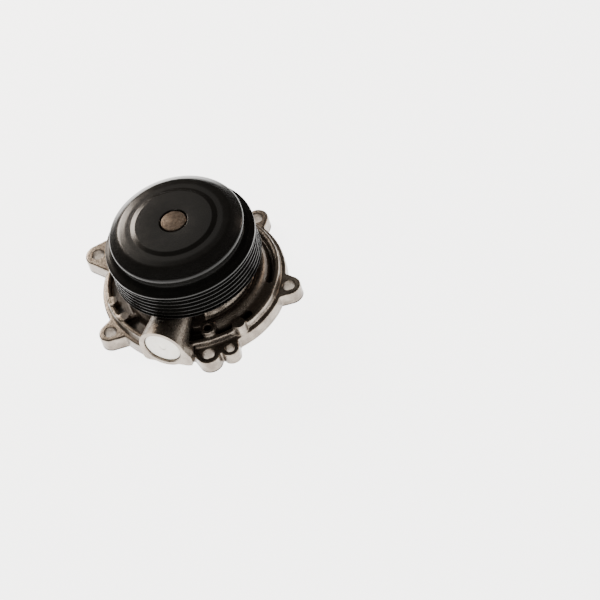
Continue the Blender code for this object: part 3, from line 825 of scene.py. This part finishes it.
def hollow_casting(housing):
    """Cored hollows: chamber, volute channel, port neck and seal bore."""
    profile = [(0, -5), (CHAMBER_R, -5), (CHAMBER_R, CHAMBER_TOP), (SEAL_BORE_R, CHAMBER_TOP),
               (SEAL_BORE_R, CHAMBER_TOP + 2), (0, CHAMBER_TOP + 2)]
    cut(housing, turned("chamber", profile, 180))
    cut(housing, prism("channel", volute_outline(), -5, CHANNEL_TOP))
    cut(housing, ridge("ridge_channel", RIDGE_START + 16, RIDGE_END - 6, RIDGE_R,
                       RIDGE_WIDTH - RIDGE_WALL, RIDGE_TOP - RIDGE_WALL, -5))
    inner_end = PORT_MOUTH - PORT_MOUTH_DEPTH
    neck = ((port_point(inner_end + 1, port_axis_side(inner_end + 1)), PORT_NECK_BORE_R),
            (port_point(40, port_axis_side(40)), PORT_NECK_BORE_R))
    cut(housing, rod("port_neck_bore", neck))
    side = port_axis_side(PORT_DROP)
    drop = ((port_point(PORT_DROP, side, 3), PORT_DROP_R),
            (port_point(PORT_DROP, side), PORT_DROP_R))
    cut(housing, rod("port_drop", drop, 40))


def hole(x, y, low, high, radius):
    """A drilled hole with a small chamfer at its top."""
    stations = (((x, y, low - 1), radius), ((x, y, high - 0.45), radius),
                ((x, y, high + 0.05), radius + 0.5), ((x, y, high + 3), radius + 0.5))
    return rod("hole", stations, 48)


def machine_casting(housing):
    """Faces and bores that are cut: they keep crisp edges and exact sizes."""
    low = FLANGE_LOW
    cut(housing, prism("gasket_face", [(-99, -99), (99, -99), (99, 99), (-99, 99)], -9, low))
    cut(housing, prism("tower_face", arc((0, 0), 30, 0, 345, 23), TOWER_TOP, TOWER_TOP + 6))
    profile = [(0, CHAMBER_TOP - 1), (SEAL_BORE_R, CHAMBER_TOP - 1), (SEAL_BORE_R, SEAL_BORE_TOP),
               (WEB_BORE_R, SEAL_BORE_TOP), (WEB_BORE_R, BEARING_LOW - GAP),
               (BEARING_BORE_R, BEARING_LOW - GAP), (BEARING_BORE_R, TOWER_TOP - 0.7),
               (BEARING_BORE_R + 0.8, TOWER_TOP + 0.1), (BEARING_BORE_R + 0.8, TOWER_TOP + 3),
               (0, TOWER_TOP + 3)]
    cut(housing, turned("shaft_bores", profile, 128))
    for angle, distance, radius, top in BOSSES:
        x, y = polar(angle, distance)
        spot_face = (((x, y, top), radius + 0.9), ((x, y, top + 5), radius + 0.9))
        cut(housing, rod("spot_face", spot_face, 48))
    face = PORT_MOUTH
    cut(housing, rod("mouth_face", ((port_point(face), 30), (port_point(face + 9), 30))))
    cut(housing, rod("port_bore", ((port_point(face - PORT_MOUTH_DEPTH, PORT_SIDE), PORT_BORE_R),
                                   (port_point(face - 0.6, PORT_SIDE), PORT_BORE_R),
                                   (port_point(face + 0.1, PORT_SIDE), PORT_BORE_R + 0.7),
                                   (port_point(face + 4, PORT_SIDE), PORT_BORE_R + 0.7)), 96))
    weep_hole = [((*polar(-40, distance), 28.7), 1.3) for distance in (10, 34)]
    cut(housing, rod("weep_hole", weep_hole, 24))
    x, y = polar(*BOSSES[2][:2])
    cut(housing, hole(x, y, RIM_TOP - 1, BOSSES[2][3], 2.6))
    for angle, distance, _ in LUGS:
        x, y = polar(angle, distance)
        cut(housing, hole(x, y, 0, FLANGE_TOP, LUG_HOLE_R))
    x, y = polar(EAR_ANGLE, EAR_R)
    cut(housing, hole(x, y, 0, FLANGE_TOP, EAR_HOLE_R))


def pump_housing():
    housing = rough_casting()
    hollow_casting(housing)
    as_cast(housing, HOUSING_VOXEL, HOUSING_SMOOTHING)
    machine_casting(housing)
    # the last colour is the painted shade tone of the hollows and of the pan inside the rim
    look = cast_metal("cast_aluminium", (0.165, 0.137, 0.113), (0.31, 0.268, 0.222),
                      (0.045, 0.034, 0.025), pan=(RIM_INNER_R, DECK_TOP + 0.9))
    place(housing, look, 32)


def gasket():
    plate_r = FLANGE_R - 1.0
    sheet = turned("gasket", [(0, 0), (plate_r, 0), (plate_r, GASKET_THICK), (0, GASKET_THICK)], 180)
    spread_outline(sheet)
    for angle, distance, rounding in LUGS[:-1]:
        fuse(sheet, prism("lug", lug_outline(angle, distance, rounding), 0, GASKET_THICK))
    fuse(sheet, prism("corner", corner_outline(), 0, GASKET_THICK))
    cut(sheet, prism("opening", volute_outline(), -1, GASKET_THICK + 1))
    for angle, distance, _ in LUGS:
        x, y = polar(angle, distance)
        hole_line = (((x, y, -1), LUG_HOLE_R), ((x, y, GASKET_THICK + 1), LUG_HOLE_R))
        cut(sheet, rod("hole", hole_line, 48))
    place(sheet, gasket_sheet())


# ---------------------------------------------------------------- pulley

def groove_corners():
    """Six V grooves with rounded crests and roots."""
    corners = []
    half = GROOVE_PITCH / 2
    for i in range(GROOVE_COUNT):
        top = FLANGE_EDGE_Z - 0.8 - i * GROOVE_PITCH
        crest = PULLEY_R if i == 0 else CREST_R
        corners.append((crest, top + 0.35, 0.15))
        corners.append((crest, top - 0.25, 0.15))
        corners.append((VALLEY_R, top - half + 0.25, 0.25))
        corners.append((VALLEY_R, top - half - 0.25, 0.25))
    return corners


def pulley():
    outside = [(PULLEY_BORE_R, SHAFT_TOP - 1.4), (PULLEY_BORE_R + 0.8, SHAFT_TOP, 0.4),
               (20, SHAFT_TOP - 0.03, 60), (26.5, SHAFT_TOP - 0.25, 3.4),
               (29.6, SHAFT_TOP - 1.35, 3.4), (33.5, SHAFT_TOP - 1.6, 20),
               (38.4, SHAFT_TOP - 2.4, 7), (41.0, SHAFT_TOP - 3.9, 5),
               (CAP_R, CAP_RIM_Z + 1.6, 4.0), (CAP_R, CAP_RIM_Z - 0.9, 0.06),
               (44.0, CAP_RIM_Z - 1.5, 0.3), (43.9, CAP_RIM_Z - 5, 1.5),
               (44.0, CAP_RIM_Z - 7, 2), (48.6, FLANGE_EDGE_Z + 1.2, 1.5),
               (PULLEY_R, FLANGE_EDGE_Z + 0.2, 0.5)]
    inside = [(PULLEY_R, PULLEY_LOW + 0.8, 0.4), (PULLEY_R - 0.5, PULLEY_LOW, 0.3),
              (PULLEY_INNER_R, PULLEY_LOW, 0.6), (PULLEY_INNER_R, 56.5, 1.5), (41.8, 59, 1.5),
              (41.8, CAP_RIM_Z, 2), (40, SHAFT_TOP - 6, 2), (36, SHAFT_TOP - 4.6, 2),
              (29, SHAFT_TOP - 4.0, 1.5), (COLLAR_R + 1, SHAFT_TOP - 3.2, 0.6),
              (COLLAR_R, SHAFT_TOP - 4, 0.6), (COLLAR_R, COLLAR_LOW, 0.8),
              (PULLEY_BORE_R, COLLAR_LOW, 0.5)]
    body = turned("pulley", rounded(outside + groove_corners() + inside, 5), 240)
    place(body, satin_paint(), 60)


# ---------------------------------------------------------------- shaft and bearing

def race_arc(centre_r, groove_r, side, limit, steps=14):
    reach = math.degrees(math.acos((limit - centre_r) * side / groove_r))
    points = []
    for i in range(steps + 1):
        turn = math.radians(reach - 2 * reach * i / steps)
        radius = centre_r + side * groove_r * math.cos(turn)
        points.append((radius, BALL_Z + groove_r * math.sin(turn)))
    return points


def shaft():
    groove = race_arc(PITCH_R, GROOVE_R, -1, RACE_R)
    profile = [(0, SHAFT_TOP), (SHAFT_R - 0.5, SHAFT_TOP, 0.3), (SHAFT_R, SHAFT_TOP - 0.5, 0.3),
               (SHAFT_R, 59), (RACE_R, 58.4)] + groove
    profile += [(RACE_R, 31.4), (8.0, 30.6), (8.0, SHAFT_LOW + 0.5, 0.3), (7.5, SHAFT_LOW, 0.2),
                (1.9, SHAFT_LOW, 0.2), (0, SHAFT_LOW + 0.9)]
    place(turned("shaft", rounded(profile, 3), 128),
          turned_steel("shaft_steel", (0.085, 0.066, 0.051), (0.19, 0.155, 0.125), 0.28, 0.46,
                       tarnish=(0.05, 0.031, 0.02)))


def bearing_outer_ring(look):
    groove = race_arc(PITCH_R, GROOVE_R, 1, OUTER_RACE_R)
    profile = [(OUTER_RACE_R, BEARING_HIGH, 0.3)] + groove + [(OUTER_RACE_R, BEARING_LOW, 0.3)]
    profile += [(RING_R, BEARING_LOW, 0.8), (RING_R, BEARING_HIGH, 0.8)]
    place(turned("bearing_outer_ring", rounded(profile, 4), 128), look)


def bearing_seal(name, z, look):
    """A lip seal: stiffened disc with a thin lip that runs on the shaft."""
    profile = [(RACE_R + 0.25, z + 0.1, 0.1), (11.2, z, 0.3), (OUTER_RACE_R - GAP, z, 0.2),
               (OUTER_RACE_R - GAP, z + 1.1, 0.2), (11, z + 1.1, 0.3), (10.2, z + 0.6, 0.2),
               (RACE_R + 0.25, z + 0.6, 0.1)]
    place(turned(name, rounded(profile, 4), 96), look)


def cage(name, low, high):
    profile = [(10.6, low, 0.3), (12.9, low, 0.3), (12.9, high, 0.3), (10.6, high, 0.3)]
    return turned(name, rounded(profile, 3), 120)


def ball_cage(look):
    ring = cage("ball_cage", BALL_Z - 4.6, BALL_Z + 4.6)
    for i in range(BALL_COUNT):
        angle = 360 * i / BALL_COUNT
        ends = (((*polar(angle, 8), BALL_Z), 3.8), ((*polar(angle, 15), BALL_Z), 3.8))
        cut(ring, rod("pocket", ends, 48))
    place(ring, look)


def roller_cage(look):
    ring = cage("roller_cage", ROLLER_Z - 6.1, ROLLER_Z + 6.1)
    half = ROLLER_LENGTH / 2 + 0.3
    for i in range(ROLLER_COUNT):
        slot = prism("slot", [(8, -2.85), (15, -2.85), (15, 2.85), (8, 2.85)],
                     ROLLER_Z - half, ROLLER_Z + half)
        slot.data.transform(Matrix.Rotation(2 * math.pi * i / ROLLER_COUNT, 4, "Z"))
        cut(ring, slot)
    place(ring, look)


def balls(look):
    for i in range(BALL_COUNT):
        bm = bmesh.new()
        bmesh.ops.create_icosphere(bm, subdivisions=4, radius=BALL_R)
        ball = to_object(f"ball_{i + 1}", bm)
        x, y = polar(360 * i / BALL_COUNT, PITCH_R)
        ball.data.transform(Matrix.Translation((x, y, BALL_Z)))
        place(ball, look)


def rollers(look):
    half = ROLLER_LENGTH / 2
    for i in range(ROLLER_COUNT):
        profile = [(0, -half + 0.15), (1.0, -half, 0.2), (ROLLER_R - 0.04, -half, 0.35),
                   (ROLLER_R, 0, 20), (ROLLER_R - 0.04, half, 0.35), (1.0, half, 0.2),
                   (0, half - 0.15)]
        roller = turned(f"roller_{i + 1}", rounded(profile, 6), 48)
        x, y = polar(360 * i / ROLLER_COUNT, PITCH_R)
        roller.data.transform(Matrix.Translation((x, y, ROLLER_Z)))
        place(roller, look)


# ---------------------------------------------------------------- mechanical seal

def seal_cup(look):
    profile = [(13.9, 17.2, 0.2), (14.7, 16.8, 0.2), (14.7, 26.6, 1.0), (10.4, 26.6, 0.3),
               (10.4, 25.8, 0.3), (13.9, 25.8, 0.5)]
    place(turned("seal_cup", rounded(profile, 4), 96), look)


def seal_bellows(look):
    folds = 4
    low = 17.6
    pitch = 2.0
    outer = []
    inner = []
    for i in range(folds):
        z = low + i * pitch
        outer += [(10.3, z, 0.5), (11.0, z + pitch / 2, 0.6)]
        inner += [(9.2, z, 0.5), (9.9, z + pitch / 2, 0.6)]
    top = low + folds * pitch - 0.2
    profile = outer + [(10.3, top, 0.2), (9.2, top, 0.2)] + inner[::-1]
    place(turned("seal_bellows", rounded(profile, 4), 96), look)


def seal_spring(look):
    turns = 4
    per_turn = 48
    wire_r = 0.55
    coil_r = 12.5
    low = 18.2
    high = 24.9
    sections = []
    for i in range(turns * per_turn + 1):
        part = i / (turns * per_turn)
        angle = 360 * turns * part
        centre = Vector((*polar(angle, coil_r), low + (high - low) * part))
        outward = Vector((*polar(angle, 1), 0))
        section = []
        for k in range(12):
            ring_x, ring_z = polar(30 * k, wire_r)
            section.append(centre + outward * ring_x + Vector((0, 0, ring_z)))
        sections.append(section)
    place(lofted("seal_spring", sections), look)


def seal_rings():
    """The lapped rings of the shaft seal and the rubber cup that drives the turning one."""
    carbon_ring = [(9.0, 14.6, 0.15), (11.4, 14.6, 0.15), (11.4, 15.4, 0.2), (13.4, 15.4, 0.3),
                   (13.4, 17.0, 0.3), (9.0, 17.0, 0.3)]
    place(turned("seal_carbon_ring", rounded(carbon_ring, 3), 96), carbon())
    mating_ring = [(8.8, 11.6, 0.3), (11.8, 11.6, 0.4), (11.8, 14.3, 0.2), (8.8, 14.3, 0.2)]
    place(turned("seal_mating_ring", rounded(mating_ring, 3), 96), ceramic())
    cup = [(8.3, 10.6, 0.2), (12.9, 10.6, 0.5), (12.9, 13.4, 0.3), (12.1, 13.4, 0.3),
           (12.1, 11.3, 0.3), (8.3, 11.3, 0.2)]
    place(turned("seal_mating_cup", rounded(cup, 3), 96), rubber("seal_rubber_cup"))


# ---------------------------------------------------------------- impeller and transport cap

def vane(index):
    outer_side = []
    inner_side = []
    steps = 24
    for i in range(steps + 1):
        part = i / steps
        radius = 15 + (IMPELLER_R - 0.4 - 15) * part
        angle = 360 * index / VANE_COUNT - 62 * part ** 0.8
        half_turn = math.degrees(VANE_THICK / 2 / radius)
        outer_side.append(polar(angle + half_turn, radius))
        inner_side.append(polar(angle - half_turn, radius))
    return prism("vane", outer_side + inner_side[::-1], VANE_LOW, 11.8)


def impeller():
    profile = [(0, VANE_LOW), (12, VANE_LOW), (13.5, 4), (13.5, 8), (16, 11), (IMPELLER_R, 11),
               (IMPELLER_R, 12.7), (15.4, 12.7), (13.4, 10.3), (0, 10.3)]
    wheel = turned("impeller", profile, 168)
    for i in range(VANE_COUNT):
        fuse(wheel, vane(i))
    as_cast(wheel, IMPELLER_VOXEL, IMPELLER_SMOOTHING)
    bore = (((0, 0, 0), 8.8), ((0, 0, VANE_LOW + 0.4), 8.3), ((0, 0, 14), 8.3))
    cut(wheel, rod("bore", bore, 96))
    # the last colour is the impeller's painted shade tone for its narrow hollows
    look = cast_metal("impeller_cast", (0.22, 0.19, 0.165), (0.36, 0.32, 0.28),
                      (0.08, 0.06, 0.045), grain=0.4)
    place(wheel, look, 35)


def transport_cap():
    depth = 8.0
    recess = 1.4
    skirt_r = PORT_BORE_R - GAP
    profile = [(0, -0.35), (2.0, -0.35, 0.2), (2.4, 0, 0.2), (skirt_r, 0, 0.7),
               (skirt_r, -depth, 0.4), (skirt_r - 1.4, -depth, 0.4),
               (skirt_r - 1.8, -1.8, 0.8), (0, -1.8)]
    plug = turned("transport_cap", rounded(profile, 4), 96)
    outward = Vector(port_point(1, 0, 0)).to_track_quat("Z", "Y").to_matrix().to_4x4()
    plug.data.transform(Matrix.Translation(port_point(PORT_MOUTH - recess, PORT_SIDE)) @ outward)
    place(plug, cap_plastic())


# ---------------------------------------------------------------- studio

def add_light(name, location, target, size, power, colour):
    data = bpy.data.lights.new(name, "AREA")
    data.shape = "RECTANGLE"
    data.size, data.size_y = size
    data.energy = power
    data.color = colour
    lamp = bpy.data.objects.new(name, data)
    bpy.context.scene.collection.objects.link(lamp)
    lamp.location = location
    lamp.rotation_euler = (Vector(target) - Vector(location)).to_track_quat("-Z", "Y").to_euler()


def floor():
    """White paper that glows a little, so that it stays white and lights the sides from below."""
    bpy.ops.mesh.primitive_plane_add(size=6, location=(0, 0, cad_low[2] - 0.0002))
    ground = bpy.context.object
    ground.name = "floor"
    look = Look("floor_white", (0.80, 0.80, 0.79), 0.8, 0.0)
    spread = look.add("TexGradient")
    spread.gradient_type = "SPHERICAL"
    near = look.add("Mapping")
    fade = 0.0009                            # one over the distance where it ends, in millimetres
    near.inputs["Scale"].default_value = (fade, fade, fade)
    look.link(look.place, near.inputs["Vector"])
    look.link(near.outputs["Vector"], spread.inputs["Vector"])
    glow = look.ramp(spread.outputs["Fac"], ((0.15, 0.0), (0.50, 1.0)))
    look.link(look.maths("MULTIPLY", glow, FLOOR_GLOW), look.shader.inputs["Emission Strength"])
    look.shader.inputs["Emission Color"].default_value = (1.0, 0.99, 0.975, 1)
    look.shader.inputs["Specular IOR Level"].default_value = 0.1
    ground.data.materials.append(look.material)


def studio():
    """A dark warm room: white paper below, a window-like panel behind and three weaker ones."""
    world = bpy.data.worlds.new("studio")
    bpy.context.scene.world = world
    world.use_nodes = True
    background = world.node_tree.nodes["Background"]
    background.inputs["Color"].default_value = (1.0, 0.93, 0.84, 1)
    background.inputs["Strength"].default_value = 0.10
    middle = (0, 0, 0.05)
    add_light("panel_behind", direction(113, 31), middle, (0.34, 0.34), 8.0, (1.0, 0.88, 0.76))
    add_light("panel_front", direction(232, 16), middle, (0.70, 0.20), 2.6, (1.0, 0.96, 0.91))
    add_light("panel_above", direction(100, 52), middle, (0.6, 0.5), 0.4, (1.0, 0.97, 0.92))
    add_light("panel_right", direction(17, 21), middle, (0.16, 0.14), 1.2, (1.0, 0.80, 0.66))


def direction(azimuth, elevation):
    """A point one metre from the pump."""
    x, y = polar(azimuth, math.cos(math.radians(elevation)))
    return (x, y, math.sin(math.radians(elevation)))


def camera():
    """A long lens looking down at the pump's front, rolled so that the shaft leans to the left."""
    elevation = math.radians(47)
    roll = math.radians(-20.5)
    distance = 2.5
    frame_width = 0.4                        # metres across the picture at the pump
    sight = Vector((0, math.cos(elevation), -math.sin(elevation)))
    level_right = Vector((1, 0, 0))
    level_up = level_right.cross(sight)
    right = level_right * math.cos(roll) + level_up * math.sin(roll)
    upward = level_up * math.cos(roll) - level_right * math.sin(roll)
    straight = Matrix((right, upward, -sight)).transposed()
    # the belt flange's middle stands left of and above the picture's middle
    offset = Vector((-0.200, 0.1017, -distance / frame_width))
    swing = Vector((0, 0, -1)).rotation_difference(offset).to_matrix()
    data = bpy.data.cameras.new("camera")
    data.sensor_width = 36
    data.lens = data.sensor_width * distance / frame_width
    made = bpy.data.objects.new("camera", data)
    bpy.context.scene.collection.objects.link(made)
    anchor = Vector((AXIS_X, 0, FLANGE_EDGE_Z * MM))
    axes = straight @ swing.inverted()
    made.matrix_world = Matrix.Translation(anchor - sight * distance) @ axes.to_4x4()
    bpy.context.scene.camera = made


# ---------------------------------------------------------------- everything

def build():
    steel = turned_steel("bearing_steel", (0.42, 0.41, 0.40), (0.60, 0.59, 0.58), 0.18, 0.3)
    cage_look = brass()
    seal_rubber = rubber("seal_rubber")
    lip_rubber = rubber("bearing_rubber")
    camera()
    floor()
    studio()
    pump_housing()
    gasket()
    pulley()
    shaft()
    bearing_outer_ring(steel)
    bearing_seal("bearing_seal_rear", BEARING_LOW + 0.5, lip_rubber)
    bearing_seal("bearing_seal_front", BEARING_HIGH - 1.7, lip_rubber)
    ball_cage(cage_look)
    roller_cage(cage_look)
    balls(polished_steel("ball_steel"))
    rollers(polished_steel("roller_steel"))
    seal_cup(turned_steel("seal_cup_steel", (0.48, 0.48, 0.47), (0.64, 0.64, 0.63), 0.2, 0.34))
    seal_bellows(seal_rubber)
    seal_spring(turned_steel("spring_steel", (0.38, 0.38, 0.38), (0.56, 0.56, 0.56), 0.24, 0.38))
    seal_rings()
    impeller()
    transport_cap()


build()
